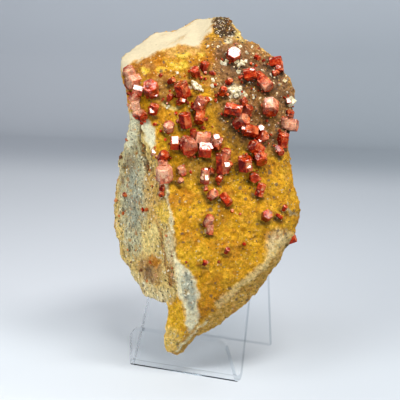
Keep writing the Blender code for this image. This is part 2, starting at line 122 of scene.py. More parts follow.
TOP_CREAM = colour(204, 189, 156)
CREAM = colour(236, 222, 174)
CHUNK_CREAM = colour(240, 214, 138)
FRINGE = colour(232, 190, 112)
TIP_YELLOW = colour(244, 206, 116)
PALE = colour(228, 214, 170)
MINT = colour(234, 230, 194)
BEIGE = colour(222, 192, 118)
OCHRE = colour(216, 156, 26)
AMBER = colour(196, 120, 6)
YELLOW = colour(236, 186, 62)
ORANGE = colour(188, 116, 6)
BROWN = colour(158, 110, 70)
UMBER = colour(112, 82, 60)
DARK = colour(84, 56, 34)
BLACKISH = colour(44, 32, 27)
EDGE_OCHRE = colour(206, 162, 82)
CREASE = colour(236, 212, 150)
GLINT_YELLOW = colour(248, 208, 84)
TOFFEE = colour(158, 96, 18)
GREY_GREEN = colour(192, 186, 148)
BLUE_GREY = colour(160, 164, 146)
DEEP_RED = colour(92, 12, 2)
RICH_RED = colour(190, 50, 6)
LIGHT_RED = colour(244, 142, 84)
SALMON = colour(252, 196, 156)
# The pale sheen that is painted on the crystals' upward facets.
PAINTED_TOP_SHEEN = colour(252, 204, 168)

# The areas named shade hold painted shade, and those named glint hold painted glints.
# Markings of the rock, painted in this order: (corners of an outline, softness, colour, strength).
FACE_AREAS = {
    "brown_upper": (
        ((204, 40), (243, 34), (264, 44), (286, 64), (299, 90), (299, 125), (288, 152), (262, 152),
         (240, 142), (224, 126), (217, 106), (212, 84)), 9, BROWN, 0.85),
    "umber_upper": (
        ((214, 46), (240, 44), (256, 56), (282, 72), (292, 92), (286, 106), (264, 96), (240, 84),
         (222, 76)), 7, UMBER, 0.55),
    "centre_shade": (((216, 110), (232, 118), (244, 132), (250, 148), (236, 152), (222, 140), (214, 126)),
         5, DARK, 0.55),
    "shade_below": (((186, 150), (206, 158), (222, 162), (214, 184), (196, 180), (184, 166)),
         5, UMBER, 0.45),
    "upper_left_shade": (((150, 76), (166, 76), (172, 92), (166, 108), (152, 104), (146, 90)),
         5, BROWN, 0.6),
    "orange_zone": (
        ((128, 66), (142, 58), (156, 52), (176, 46), (196, 47), (208, 44), (216, 58), (208, 70),
         (190, 72), (168, 76), (150, 78), (136, 76)), 4, ORANGE, 0.85),
    "brown_left": (((134, 64), (150, 58), (156, 66), (148, 76), (136, 74)), 3, BROWN, 0.6),
    "brown_below_orange": (((156, 74), (186, 72), (214, 68), (216, 84), (190, 86), (164, 90), (152, 84)),
         4, BROWN, 0.35),
    "yellow_streak": (((164, 60), (186, 60), (196, 66), (180, 72), (166, 70)), 3, YELLOW, 0.65),
    "cream_fringe": (((158, 50), (178, 44), (202, 46), (206, 53), (188, 56), (166, 57)), 5, FRINGE, 0.6),
    "toffee_rim": (((131, 66), (144, 57), (160, 51), (166, 55), (152, 61), (140, 69)), 2, TOFFEE, 0.65),
    "toffee_left": (((134, 70), (146, 69), (156, 70), (158, 77), (148, 80), (138, 78)), 2.5, TOFFEE, 0.7),
    "toffee_right": (((188, 60), (200, 64), (204, 72), (192, 74), (182, 71)), 2.5, TOFFEE, 0.55),
    "glint_left": (((140, 67), (147, 68), (149, 73), (143, 73)), 1.2, GLINT_YELLOW, 0.9),
    "glint_middle": (((157, 67), (164, 66), (165, 71), (159, 72)), 1.2, GLINT_YELLOW, 0.8),
    "glint_right": (((171, 63), (184, 61), (190, 65), (180, 69), (172, 68)), 1.6, GLINT_YELLOW, 0.9),
    "glint_above": (((176, 54), (186, 51), (192, 55), (184, 59), (177, 58)), 1.6, GLINT_YELLOW, 0.75),
    "glint_far": (((196, 53), (203, 51), (206, 56), (200, 60)), 1.4, GLINT_YELLOW, 0.7),
    "cream_streak": (((162, 104), (170, 105), (180, 108), (178, 111), (170, 110), (164, 108)),
         1.2, CHUNK_CREAM, 0.85),
    "cream_field": (((226, 87), (236, 85), (243, 91), (240, 97), (230, 98)), 3, PALE, 0.8),
    "amber_low": (((192, 288), (222, 284), (232, 292), (218, 306), (200, 318), (194, 306)), 5, AMBER, 0.4),
    "yellow_low": (((176, 250), (204, 248), (206, 266), (188, 272), (178, 266)), 5, YELLOW, 0.5),
    "mint_patch": (((137, 119), (147, 120), (154, 128), (156, 142), (153, 150), (146, 144), (141, 132)),
         2, MINT, 0.95),
    "pale_right": (((268, 238), (279, 231), (291, 236), (288, 250), (277, 262), (268, 254)), 7, PALE, 0.72),
    "left_face": (
        ((126, 118), (134, 116), (141, 128), (150, 148), (157, 160), (162, 178), (166, 196), (170, 226),
         (175, 250), (178, 290), (170, 306), (138, 304), (96, 262), (96, 160), (118, 130)), 2.5, BEIGE, 1),
    "left_grey": (
        ((127, 128), (138, 136), (146, 160), (149, 190), (147, 214), (141, 234), (136, 252), (127, 244),
         (121, 222), (120, 190), (121, 160)), 3.5, GREY_GREEN, 0.95),
    "left_blue": (((128, 170), (138, 168), (142, 190), (139, 220), (132, 232), (127, 210)),
         4, BLUE_GREY, 0.8),
    "left_rust": (((146, 162), (158, 168), (164, 190), (167, 214), (160, 226), (150, 222), (146, 196)),
         4, ORANGE, 0.4),
    "left_amber": (((156, 204), (165, 202), (169, 216), (168, 224), (161, 223), (156, 214)),
         2, GLINT_YELLOW, 0.75),
    "cream_chunk": (((141, 236), (150, 228), (158, 220), (161, 229), (156, 242), (153, 256), (145, 259),
         (140, 250)), 1.5, CHUNK_CREAM, 1),
    "left_pink": (((146, 176), (156, 174), (162, 190), (160, 206), (148, 204), (145, 190)),
         3, EDGE_OCHRE, 0.55),
    "left_low_olive": (((124, 232), (140, 224), (142, 250), (134, 262), (126, 252)), 3, GREY_GREEN, 0.7),
    "left_top_pale": (((126, 112), (136, 112), (140, 124), (136, 140), (128, 150), (122, 146),
         (124, 128)), 3, MINT, 0.9),
    "left_olive": (((126, 154), (136, 152), (138, 166), (130, 174), (124, 168)), 3, UMBER, 0.4),
    "left_brown": (((137, 262), (147, 256), (158, 258), (163, 266), (161, 284), (152, 284), (143, 278)),
         4, BROWN, 0.7),
    "left_hole": (((144, 268), (150, 266), (153, 274), (157, 282), (150, 284), (144, 276)), 2, UMBER, 0.6),
    "left_brown_top": (((148, 255), (158, 254), (161, 262), (156, 268), (148, 264)), 2, AMBER, 0.7),
    "left_pale_foot": (((124, 262), (138, 276), (156, 286), (170, 292), (168, 304), (146, 302),
         (126, 280)), 3, PALE, 0.6),
    "pitted_strip": (((165, 234), (172, 230), (176, 250), (177, 266), (169, 264), (166, 250)),
         2, PALE, 0.75),
    "rust_strip": (((168, 258), (174, 262), (175, 286), (170, 288)), 2, BROWN, 0.6),
    "mint_rim": (
        ((175, 252), (179, 262), (188, 269), (196, 279), (198, 290), (198, 312), (199, 322), (189, 335),
         (186, 324),
         (185, 310), (178, 298), (176, 282)), 1.8, MINT, 0.9),
    "grey_patch": (((183, 276), (188, 271), (193, 276), (195, 284), (196, 300), (192, 311), (187, 306),
         (182, 292)), 2.5, BLUE_GREY, 0.9),
    "amber_tip": (((170, 300), (180, 302), (186, 316), (184, 330), (178, 330), (172, 316)),
         2.5, AMBER, 0.6),
    "tip_facet": (((168, 302), (182, 303), (186, 318), (185, 332), (178, 344), (170, 353), (162, 350),
         (162, 334), (166, 320)), 2, YELLOW, 0.75),
    "tip_pale": (((164, 324), (172, 326), (180, 338), (180, 350), (170, 356), (162, 350)),
         3, TIP_YELLOW, 0.75),
    "edge_band": (
        ((291, 236), (291, 246), (270, 279), (248, 306), (219, 328), (190, 348), (176, 360), (172, 352),
         (190, 331), (207, 317), (224, 303), (240, 286), (256, 273), (272, 254), (280, 240)),
         2, EDGE_OCHRE, 0.9),
    "cream_top": (
        ((112, 84), (114, 46), (150, 20), (195, 4), (216, 4), (214, 20), (211, 30), (204, 38), (200, 47),
         (190, 47), (178, 45), (166, 49), (156, 52), (146, 58), (134, 62), (126, 70)), 2, TOP_CREAM, 1),
    "crust_margin": (((228, 12), (248, 26), (246, 42), (236, 40), (232, 26)), 2, BEIGE, 0.9),
    "black_crust": (((212, 16), (222, 15), (231, 20), (234, 28), (237, 33), (232, 37), (221, 38),
         (214, 34), (214, 25)), 1.8, BLACKISH, 0.92),
    "grey_bar": (((224, 38), (233, 37), (233, 42), (226, 43)), 1, PALE, 0.8),
}
FACE_LINES = {
    "ridge_line": (((164, 180), (167, 192), (170, 208), (171, 220), (173, 232)), 1.7, CREAM, 1),
    "rim_line": (((176, 252), (178, 276), (181, 300)), 1.3, CREAM, 0.7),
    # Pale cream along the crease, partly a painted highlight that the crease catches.
    "crease_cream_and_highlight": (((288, 236), (276, 248), (263, 266), (248, 279), (234, 290), (218, 304)),
         4.5, CREASE, 0.65),
    "tip_line": (((177, 350), (186, 340), (196, 331), (206, 322)), 1.8, CREAM, 0.9),
    "left_edge_line": (((119, 158), (121, 176), (119, 200)), 1.6, PALE, 0.6),
    "left_crack": (((138, 117), (141, 138), (143, 155), (148, 171)), 1.5, DARK, 0.9),
    "side_crack": (((129, 160), (125, 172), (122, 186)), 1.0, UMBER, 0.7),
    "rust_line": (((157, 222), (161, 236), (164, 250), (167, 266), (171, 286)), 1.6, TOFFEE, 0.7),
    "rim_crack": (((175, 232), (176, 250)), 1.0, DARK, 0.5),
    "grey_vein": (((282, 208), (296, 215)), 1.8, BLUE_GREY, 0.6),
}
# Where crystals are milky and salmon-coloured: (across, down, reach, strength).
PALE_SPOTS = (
    (130, 74, 9, 0.75), (133, 83, 9, 0.5), (137.5, 89, 6, 0.7), (135, 106, 11, 0.8), (164, 173, 13, 0.85),
    (155, 153, 5, 0.8), (203, 138, 10, 0.6), (216, 140, 7, 0.5), (193, 143, 7, 0.4), (270, 102, 9, 0.75),
    (290, 125, 10, 0.75), (284, 122, 5, 0.4), (266, 86, 6, 0.6), (206, 177, 8, 0.95), (169, 127, 8, 0.45),
    (182, 170, 6, 0.6), (180.5, 180, 4, 0.6), (227, 155, 6, 0.35), (227, 166, 5, 0.4), (250, 166, 6, 0.5),
    (210, 222, 7, 0.6), (211, 229, 5, 0.6), (262, 190, 5, 0.6), (214, 195, 4, 0.5), (200, 101, 8, 0.3),
    (265, 142, 5, 0.3), (245, 117, 6, 0.3), (236, 106, 6, 0.25),
)
# Small pieces, each by (across, down, radius in mm): vanadinite prisms, rusty lumps and barite flakes.
SMALL_CRYSTALS = (
    (171, 81, 0.75), (170, 97, 0.75), (240, 78, 0.6), (228, 82, 0.9), (223, 90, 1.0), (207, 65, 0.8),
    (213, 74, 0.6), (242, 101, 0.85), (257, 58, 0.9), (276, 73, 0.8), (222, 60, 0.5), (205, 79, 0.5),
    (163, 187, 1.0), (162, 193, 0.9), (186, 100, 0.5), (215, 85, 0.5), (263, 61, 0.5), (251, 64, 0.5),
    (134, 95, 0.8), (132, 101, 0.8), (136, 113, 0.8), (141, 118, 0.8), (145, 121, 0.6), (133, 77, 0.7),
    (140, 79, 0.6), (129, 71, 0.6), (232, 211, 0.6), (240, 214, 0.4), (244, 244, 0.6), (205, 225, 0.5),
    (186, 262, 0.4), (218, 262, 0.5), (127, 74, 0.8), (130, 80, 0.7), (128, 86, 0.7), (135, 83, 0.8),
    (129, 93, 0.7), (131, 99, 0.8), (129, 105, 0.6), (133, 107, 0.9), (138, 109, 0.7), (137, 116, 0.8),
    (142, 122, 0.7), (146, 118, 0.6), (139, 101, 0.5), (287, 112, 0.8), (283, 118, 0.6), (166, 158, 0.7),
    (158, 157, 0.6), (256, 66, 0.5), (205, 73, 0.6),
)
RUSTY_LUMPS = (
    (146, 210, 1.0), (126, 195, 0.9), (127, 140, 0.8), (121, 157, 0.9), (118, 168, 0.9), (118, 180, 0.7),
    (116, 200, 0.9), (114, 218, 0.9), (123, 213, 0.9), (148, 166, 0.8), (150, 170, 0.6), (119, 216, 0.7),
    (152, 186, 0.7), (156, 178, 0.6), (172, 268, 0.7), (172, 275, 0.8), (170, 284, 0.7), (163, 246, 0.6),
    (150, 262, 0.8), (141, 270, 0.7), (156, 276, 0.8), (147, 281, 0.6), (172, 256, 0.6), (128, 250, 0.6),
    (131, 262, 0.5), (166, 236, 0.6),
)
BARITE_FLAKES = (
    (194, 83, 0.8), (196, 86, 0.9), (199, 88, 0.9), (202, 90, 0.6), (191, 87, 0.6), (180, 83, 0.8),
    (168, 107, 0.5), (222, 63, 0.8), (225, 64, 0.8), (227, 61, 0.6), (236, 62, 0.8), (241, 63, 0.9),
    (245, 62, 0.7), (238, 72, 0.9), (274, 71, 0.5), (285, 81, 0.9), (246, 95, 0.8), (243, 93, 0.6),
    (247, 53, 0.7), (230, 90, 1.0), (234, 91, 1.1), (238, 89, 1.0), (236, 95, 0.9), (231, 96, 0.8),
    (241, 94, 0.7), (212, 86, 0.8), (213, 80, 0.6), (291, 98, 0.9), (291, 103, 0.8), (293, 84, 0.6),
    (218, 47, 0.5), (252, 47, 0.5), (240, 47, 0.5), (262, 70, 0.5), (208, 46, 0.5), (254, 97, 0.5),
    (280, 84, 0.5), (270, 74, 0.4), (210, 99, 0.5), (216, 102, 0.5), (177, 73, 0.6),
)
# Where facets are clean and flat: (across, down, reach).
CLEAN_SPOTS = ((233, 53, 11), (207, 145, 7), (175, 140, 7), (138, 89, 7), (261, 128, 5), (154, 151, 4),
         (216, 137, 5))
# Small tabular crystals that catch the light: (across, down, breadth, height, turn in degrees), on the
# grid.
BRIGHT_PLATES = (
    (244.6, 126.5, 4.6, 8.6, -16), (216.5, 137, 6.0, 5.2, 20), (174.8, 140.6, 7.2, 8.6, 4),
    (151.8, 111, 4.4, 5.6, 4), (183.6, 100.8, 3.2, 4.4, -10), (227, 165, 5.6, 5.0, 10),
    (206, 169.6, 3.6, 2.2, 0), (206.6, 177, 3.2, 7.5, 4), (154, 95.5, 7.0, 2.6, -8),
    (148, 97.5, 3.6, 2.0, 12), (249, 167, 4.0, 3.2, 20), (238.5, 108, 3.4, 1.6, -20),
    (252, 70, 5.0, 1.8, -6), (260, 141, 2.6, 3.0, 15), (199, 104, 1.8, 4.4, 22), (288.5, 101, 4.6, 5.2, 8),
    (211, 147, 3.0, 5.0, 35),
)
# Open cracks of the left face.
FISSURES = (
    FACE_LINES["left_crack"][0],
    ((147, 160), (149, 174)),
    ((126, 165), (123, 174), (121, 184)),
    ((134, 196), (136, 214), (134, 232)),
)

# Marks of the left face that hold no fibres.
UNFIBRED = (
    "cream_chunk", "left_brown", "left_brown_top", "left_top_pale", "left_amber", "pitted_strip",
    "mint_patch",
)

# Lumps of colour in the rock, large to small: (size in mm, salt, noise where they begin, noise where they
# are full, colour, strength).
BACK_LUMPS = (
    (26, 1, -0.25, 0.35, BEIGE, 0.8), (17, 2, -0.1, 0.5, GREY_GREEN, 0.8), (11, 3, 0.0, 0.5, BROWN, 0.6),
    (4, 4, 0.0, 0.6, YELLOW, 0.4), (2.5, 9, 0.0, 0.6, UMBER, 0.35),
)
FACE_LUMPS = ((6, 5, 0.0, 0.45, AMBER, 0.5), (3, 6, 0.0, 0.45, YELLOW, 0.45), (2, 7, 0.0, 0.45, BROWN, 0.25))

# Spots in the skin of the rock: (cell size in mm, radius, share of the cells, strength, colour).
COARSE_SPOTS = (
    (0.9, 0.30, 0.26, 0.8, colour(92, 66, 38)), (1.9, 0.26, 0.30, 0.75, colour(112, 94, 78)),
    (0.9, 0.24, 0.16, 0.75, CREASE), (1.7, 0.22, 0.20, 0.6, colour(206, 190, 150)),
)
FIBRE_SPOTS = (
    (0.9, 0.34, 0.36, 0.9, colour(50, 52, 40)), (1.2, 0.30, 0.36, 0.9, colour(244, 238, 212)),
    (1.5, 0.26, 0.22, 0.8, colour(176, 104, 40)), (1.9, 0.22, 0.3, 0.8, colour(120, 112, 92)),
    (2.2, 0.30, 0.20, 0.7, colour(172, 104, 40)),
)
SMOOTH_PITS = ((2.6, 0.12, 0.28, 0.55, colour(120, 100, 70)),)

# Kinds of loose grain: (from, to) as shares of all grains, and the colour.
GRAIN_KINDS = (
    (0.0, 0.10, colour(84, 56, 38)), (0.10, 0.17, colour(240, 220, 168)), (0.17, 0.24, colour(240, 184, 50)),
    (0.24, 0.27, colour(128, 118, 104)),
)
UPPER_GRAIN_KINDS = (
    (0.68, 0.76, colour(214, 200, 178)), (0.76, 0.84, colour(196, 128, 96)),
    (0.84, 0.88, colour(150, 48, 14)), (0.88, 1.0, colour(58, 40, 32)),
)
CRUST_GRAIN_KINDS = (
    (0.0, 0.55, colour(26, 18, 15)), (0.55, 0.7, colour(96, 66, 48)), (0.7, 1.0, colour(224, 206, 176)),
)
LUMP_COLOURS = (colour(200, 120, 60), colour(190, 140, 96), colour(176, 84, 30), colour(120, 76, 44))


# ---------------------------------------------------------------- places and shares


def eye_frame(across, up, towards):
    """A point given from the specimen's middle: to the camera's right, upright, and towards the camera."""
    level = Vector((-AHEAD.x, -AHEAD.y, 0)).normalized()
    return MIDDLE + RIGHT * across + Vector((0, 0, up)) + level * towards


def layout_of(points):
    """The grid places (across, down) that an array of points is seen at."""
    away = points - np.array(EYE)
    unit = (away @ np.array(AHEAD)) * GRID_UNIT / EYE_DISTANCE
    across = GRID_MIDDLE + away @ np.array(RIGHT) / unit
    down = GRID_MIDDLE - away @ np.array(UP) / unit
    return np.column_stack((across, down))


def smooth_step(low, high, value):
    share = np.clip((value - low) / (high - low), 0, 1)
    return share * share * (3 - 2 * share)


def distance_to(places, start, end):
    """Each place's distance to the line from start to end."""
    along = end - start
    share = np.clip((places - start) @ along / (along @ along), 0, 1)
    return np.linalg.norm(places - start - share[:, None] * along, axis=1)


def area_share(places, corners, softness):
    """1 inside an outline and 0 outside it, fading over the softness at its border."""
    corners = np.array(corners, float)
    inside = np.zeros(len(places), bool)
    nearest = np.full(len(places), np.inf)
    across, down = places.T
    for start, end in zip(corners, np.roll(corners, -1, axis=0)):
        nearest = np.minimum(nearest, distance_to(places, start, end))
        if start[1] != end[1]:
            reached = start[0] + (down - start[1]) / (end[1] - start[1]) * (end[0] - start[0])
            inside ^= ((start[1] > down) != (end[1] > down)) & (across < reached)
    return smooth_step(-softness, softness, np.where(inside, nearest, -nearest))


def line_share(places, points, width):
    """1 on a line of the grid and 0 beyond its width."""
    points = np.array(points, float)
    nearest = np.min([distance_to(places, a, b) for a, b in zip(points, points[1:])], axis=0)
    return 1 - smooth_step(0.4 * width, 1.2 * width, nearest)


def noise_at(points, size, salt):
    """Smooth noise from -1 to 1 over an array of points, with lumps of about the given size."""
    shift = Vector((salt * 7.3, salt * 3.1, -salt * 5.7))
    return np.array([noise.noise(Vector(point) / size + shift) for point in points])


def cells_at(points, size, salt):
    """Distance to the nearest cell centre, 0 at the centre to about 1, and a random value per cell."""
    shift = Vector((salt * 5.9, -salt * 2.3, salt * 8.1))
    near, tone = [], []
    for point in points:
        distances, centres = noise.voronoi(Vector(point) / size + shift)
        near.append(distances[0])
        tone.append(noise.cell(centres[0] * 9.7))
    return np.array(near), np.array(tone) % 1.0


def painted(tint, share, shade):
    """The tints with a shade laid over them, by each point's share."""
    share = share[:, None]
    return tint * (1 - share) + np.array(shade) * share


# ---------------------------------------------------------------- meshes and pieces


def add_piece(name, mesh, material, replaced=()):
    piece = bpy.data.objects.new(name, mesh)
    bpy.context.scene.collection.objects.link(piece)
    if mesh.materials:
        mesh.materials[0] = material
    else:
        mesh.materials.append(material)
    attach(piece, "root")
    if replaced:
        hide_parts(*replaced)
    return piece


def evaluated_mesh(obj):
    graph = bpy.context.evaluated_depsgraph_get()
    return bpy.data.meshes.new_from_object(obj.evaluated_get(graph), depsgraph=graph)


def array_of(collection, key, width):
    values = np.empty(len(collection) * width, np.float32)
    collection.foreach_get(key, values)
    return values.reshape(-1, width).astype(float)


def store(mesh, name, values):
    """Keeps one number for each point of the mesh, for its material."""
    mesh.attributes.new(name, "FLOAT", "POINT").data.foreach_set("value", values.astype(np.float32))


def store_tint(mesh, tint):
    rgba = np.column_stack((tint, np.ones(len(tint)))).astype(np.float32)
    mesh.attributes.new("tint", "FLOAT_COLOR", "POINT").data.foreach_set("color", rgba.ravel())


def mesh_of(bm, name, materials=()):
    """Ends a bmesh and returns it as a mesh."""
    mesh = bpy.data.meshes.new(name)
    for material in materials:
        mesh.materials.append(material)
    bm.to_mesh(mesh)
    bm.free()
    return mesh


def clean_facets(node, flatness=FACET_FLATNESS):
    """The CAD node as a bmesh, welded, with the triangles of each flat facet joined."""
    bm = bmesh.new()
    bm.from_mesh(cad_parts[node].data)
    bmesh.ops.remove_doubles(bm, verts=bm.verts, dist=WELD)
    bmesh.ops.dissolve_limit(bm, angle_limit=flatness, verts=bm.verts, edges=bm.edges)
    return bm


def node_meshes(names):
    return [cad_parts[name].data for name in names]


def surface_tree(meshes):
    """One search tree over the surfaces of all the meshes."""
    points, faces = [], []
    for mesh in meshes:
        first = len(points)
        points += [vertex.co.copy() for vertex in mesh.vertices]
        faces += [[first + i for i in polygon.vertices] for polygon in mesh.polygons]
    return BVHTree.FromPolygons(points, faces)


def distances_from(tree, points, reach):
    """Each point's distance to the tree's surface, cut off at reach."""
    found = []
    for point in points:
        hit = tree.find_nearest(Vector(point), reach)
        found.append(reach if hit[3] is None else hit[3])
    return np.array(found)


def sight_hit(tree, across, down):
    """The point, and the normal there, at which the sight through a grid place meets the surface."""
    unit = GRID_UNIT / EYE_DISTANCE
    ray = AHEAD + RIGHT * ((across - GRID_MIDDLE) * unit) - UP * ((down - GRID_MIDDLE) * unit)
    return tree.ray_cast(EYE, ray.normalized())[:2]


# ---------------------------------------------------------------- materials


class Nodes:
    """A short way to write a material's node tree around its Principled shader."""

    def __init__(self, name):
        self.material = bpy.data.materials.new(name)
        self.material.use_nodes = True
        self.tree = self.material.node_tree
        self.shader = self.tree.nodes["Principled BSDF"]

    def add(self, kind, inputs=None, **settings):
        node = self.tree.nodes.new(kind)
        for key, value in settings.items():
            setattr(node, key, value)
        for key, value in (inputs or {}).items():
            self.join(value, node.inputs[key])
        return node

    def join(self, value, socket):
        if isinstance(value, bpy.types.NodeSocket):
            self.tree.links.new(value, socket)
        else:
            socket.default_value = value

    def set(self, **inputs):
        """Sets the shader's inputs, each named with _ for its spaces."""
        for key, value in inputs.items():
            self.join(value, self.shader.inputs[key.replace("_", " ")])

    def place(self):
        """Object coordinates in millimetres."""
        coordinates = self.add("ShaderNodeTexCoord").outputs["Object"]
        return self.add("ShaderNodeMapping", {"Vector": coordinates, "Scale": (1 / MM,) * 3}).outputs[0]

    def attribute(self, name, output="Fac"):
        return self.add("ShaderNodeAttribute", attribute_name=name).outputs[output]

    def math(self, operation, a, b=0.0, clamp=False):
        node = self.add("ShaderNodeMath", operation=operation, use_clamp=clamp)
        self.join(a, node.inputs[0])
        self.join(b, node.inputs[1])
        return node.outputs[0]

    def times(self, first, *others):
        for other in others:
            first = self.math("MULTIPLY", first, other)
        return first

    def rest(self, share):
        return self.math("SUBTRACT", 1.0, share)

    def vector(self, operation, inputs, output=0):
        return self.add("ShaderNodeVectorMath", inputs, operation=operation).outputs[output]

    def centred(self, tone):
        """A random colour as a vector, from -0.5 to 0.5 along each axis."""
        return self.vector("ADD", {0: tone, 1: (-0.5, -0.5, -0.5)})

    def between(self, value, low, high):
        """0 below low and 1 above high, with a smooth step from one to the other."""
        node = self.add("ShaderNodeMapRange", {"Value": value, "From Min": low, "From Max": high})
        node.interpolation_type = "SMOOTHSTEP"
        return node.outputs[0]

    def ranged(self, value, low, high, at_low, at_high):
        """at_low where the value is low, at_high where it is high, and evenly between."""
        inputs = {"Value": value, "From Min": low, "From Max": high, "To Min": at_low, "To Max": at_high}
        return self.add("ShaderNodeMapRange", inputs).outputs[0]

    def noise(self, place, size, detail=3.0, rough=0.55):
        inputs = {"Vector": place, "Scale": 1 / size, "Detail": detail, "Roughness": rough}
        return self.add("ShaderNodeTexNoise", inputs).outputs["Fac"]

    def warped(self, place, size, amount):
        """The place, pushed about by noise, so that what is drawn there has ragged outlines."""
        noise = self.add("ShaderNodeTexNoise", {"Vector": place, "Scale": 1 / size, "Detail": 2.0})
        offset = self.centred(noise.outputs["Color"])
        return self.vector("ADD", {0: place, 1: self.vector("SCALE", {0: offset, "Scale": amount})})

    def spots(self, place, size, radius, share):
        """1 inside round spots of random cells, fading at their borders; share is how many cells hold one."""
        cells = self.add("ShaderNodeTexVoronoi", {"Vector": place, "Scale": 1 / size})
        tone = self.add("ShaderNodeSeparateColor", {"Color": cells.outputs["Color"]})
        reach = self.times(radius, self.math("ADD", 0.5, tone.outputs[1]))
        inside = self.between(self.math("SUBTRACT", reach, cells.outputs["Distance"]), 0.0, 0.12)
        return self.times(inside, self.math("LESS_THAN", tone.outputs[0], share))

    def spotted(self, base, place, kinds, where):
        """The base with several kinds of spot laid over it, by the share that where gives."""
        for size, radius, share, strength, shade in kinds:
            base = self.mix(self.times(self.spots(place, size, radius, share), where, strength), base, shade)
        return base

    def mix(self, share, a, b):
        node = self.add("ShaderNodeMix", data_type="RGBA", blend_type="MIX")
        self.join(share, node.inputs[0])
        self.join(a if isinstance(a, bpy.types.NodeSocket) else (*a, 1), node.inputs[6])
        self.join(b if isinstance(b, bpy.types.NodeSocket) else (*b, 1), node.inputs[7])
        return node.outputs[2]

    def bump(self, height, depth, strength=1.0, normal=None):
        node = self.add("ShaderNodeBump", {"Height": height, "Distance": depth, "Strength": strength})
        if normal is not None:
            self.join(normal, node.inputs["Normal"])
        return node.outputs[0]


def strings_of(m, place):
    """Noise drawn out along the fibres, which run down the left face."""
    bent = m.warped(place, 4.0, 1.6)
    turned = m.add("ShaderNodeMapping", {"Vector": bent, "Rotation": (0, 0, -TURN)}).outputs[0]
    drawn_out = m.add("ShaderNodeMapping", {"Vector": turned, "Scale": (1, 1, 0.22)}).outputs[0]
    return m.noise(drawn_out, 0.9, detail=5, rough=0.72)


def rock_material():
    """The stored tints of the rock, mottled, spotted and roughened by the stored share of each texture."""
    m = Nodes("rock")
    place = m.place()
    ragged = m.warped(place, 0.7, 0.9)
    tint, fibre = m.attribute("tint", "Color"), m.attribute("fibre")
    dull, smooth = m.attribute("dull"), m.attribute("smooth")
    lively = m.rest(m.times(dull, 0.75))
    grain = m.rest(smooth)
    grainy = m.times(grain, m.rest(m.times(fibre, 0.6)))

    mottle = m.noise(place, 1.1, detail=6, rough=0.78)
    mottled = m.add("ShaderNodeHueSaturation", {
        "Color": tint, "Value": m.ranged(mottle, 0.35, 0.65, 0.36, 1.6),
        "Saturation": m.ranged(mottle, 0.35, 0.7, 1.12, 0.92)}).outputs[0]
    base = m.mix(m.times(m.math("ADD", grain, 0.15, clamp=True), 0.85), tint, mottled)
    rusty = m.between(m.noise(place, 2.4, detail=6, rough=0.7), 0.5, 0.66)
    base = m.mix(m.times(rusty, grainy, lively, 0.55), base, colour(168, 92, 14))
    golden = m.between(m.noise(place, 1.3, detail=5, rough=0.7), 0.56, 0.68)
    base = m.mix(m.times(golden, grainy, lively, 0.65), base, colour(236, 184, 60))
    base = m.spotted(base, ragged, COARSE_SPOTS, grainy)
    gloomy = m.between(m.noise(place, 1.7, detail=6, rough=0.75), 0.5, 0.6)
    base = m.mix(m.times(gloomy, dull, 0.52), base, colour(60, 42, 32))

    strings = strings_of(m, place)
    base = m.mix(m.times(m.between(strings, 0.48, 0.38), fibre, 0.8), base, colour(86, 78, 58))
    base = m.mix(m.times(m.between(strings, 0.55, 0.66), fibre, 0.65), base, colour(236, 226, 188))
    blotches = m.between(m.noise(ragged, 2.6, detail=4, rough=0.65), 0.53, 0.62)
    base = m.mix(m.times(blotches, fibre, 0.6), base, colour(206, 164, 92))
    base = m.spotted(base, ragged, FIBRE_SPOTS, fibre)
    base = m.spotted(base, ragged, SMOOTH_PITS, smooth)

    fine = m.noise(place, 0.30, detail=4, rough=0.7)
    normal = m.bump(fine, 0.16 * MM, 0.9)
    normal = m.bump(mottle, m.times(m.math("ADD", grain, 0.15), 0.8 * MM), 0.9, normal)
    m.set(Base_Color=base, Roughness=m.ranged(fine, 0.35, 0.65, 0.8, 0.42), Normal=normal)
    m.set(IOR=1.5, Specular_IOR_Level=0.3)
    return m.material


def grain_material():
    m = Nodes("rock_grains")
    normal = m.bump(m.noise(m.place(), 0.25), 0.03 * MM, 0.6)
    m.set(Base_Color=m.attribute("tint", "Color"), Normal=normal, Roughness=0.38, IOR=1.5)
    return m.material


def crystal_colour(m, place, normal, step):
    """Painted light and shade: deep red to orange-red by facet side, a pale sheen painted on top; pale and
    dark patches.
    """
    facing = m.vector("DOT_PRODUCT", {0: normal, 1: tuple(PAINTED_LIT_SIDE)}, "Value")
    cloud = m.math("SUBTRACT", m.noise(place, 1.5, detail=4, rough=0.6), 0.5)
    tone = m.math("ADD", facing, m.times(cloud, 2.8))
    base = m.mix(m.between(tone, -0.15, 0.6), DEEP_RED, RICH_RED)
    base = m.mix(m.times(m.between(tone, 0.55, 1.15), 0.6), base, LIGHT_RED)
    speck = m.noise(place, 0.6, detail=5, rough=0.7)
    # Painted light: lighter specks on the facets turned to the lit side.
    lit_speck = m.times(m.between(speck, 0.54, 0.7), m.between(tone, -0.4, 0.5))
    base = m.mix(m.times(lit_speck, 0.45), base, LIGHT_RED)
    pale = m.attribute("pale")
    base = m.mix(m.times(pale, m.between(speck, 0.28, 0.52)), base, SALMON)
    upward = m.add("ShaderNodeSeparateXYZ", {"Vector": normal}).outputs["Z"]
    # Painted highlight: a pale sheen in patches on upward facets, where light from above falls on them.
    painted_top_sheen = m.between(m.noise(place, 1.1, detail=5, rough=0.65), 0.52, 0.66)
    base = m.mix(m.times(painted_top_sheen, m.between(upward, 0.05, 0.75), 0.75), base, PAINTED_TOP_SHEEN)
    clear = m.rest(m.times(pale, 0.7))
    return m.mix(m.times(m.between(step, 0.55, 0.8), 0.55, clear), base, DEEP_RED)


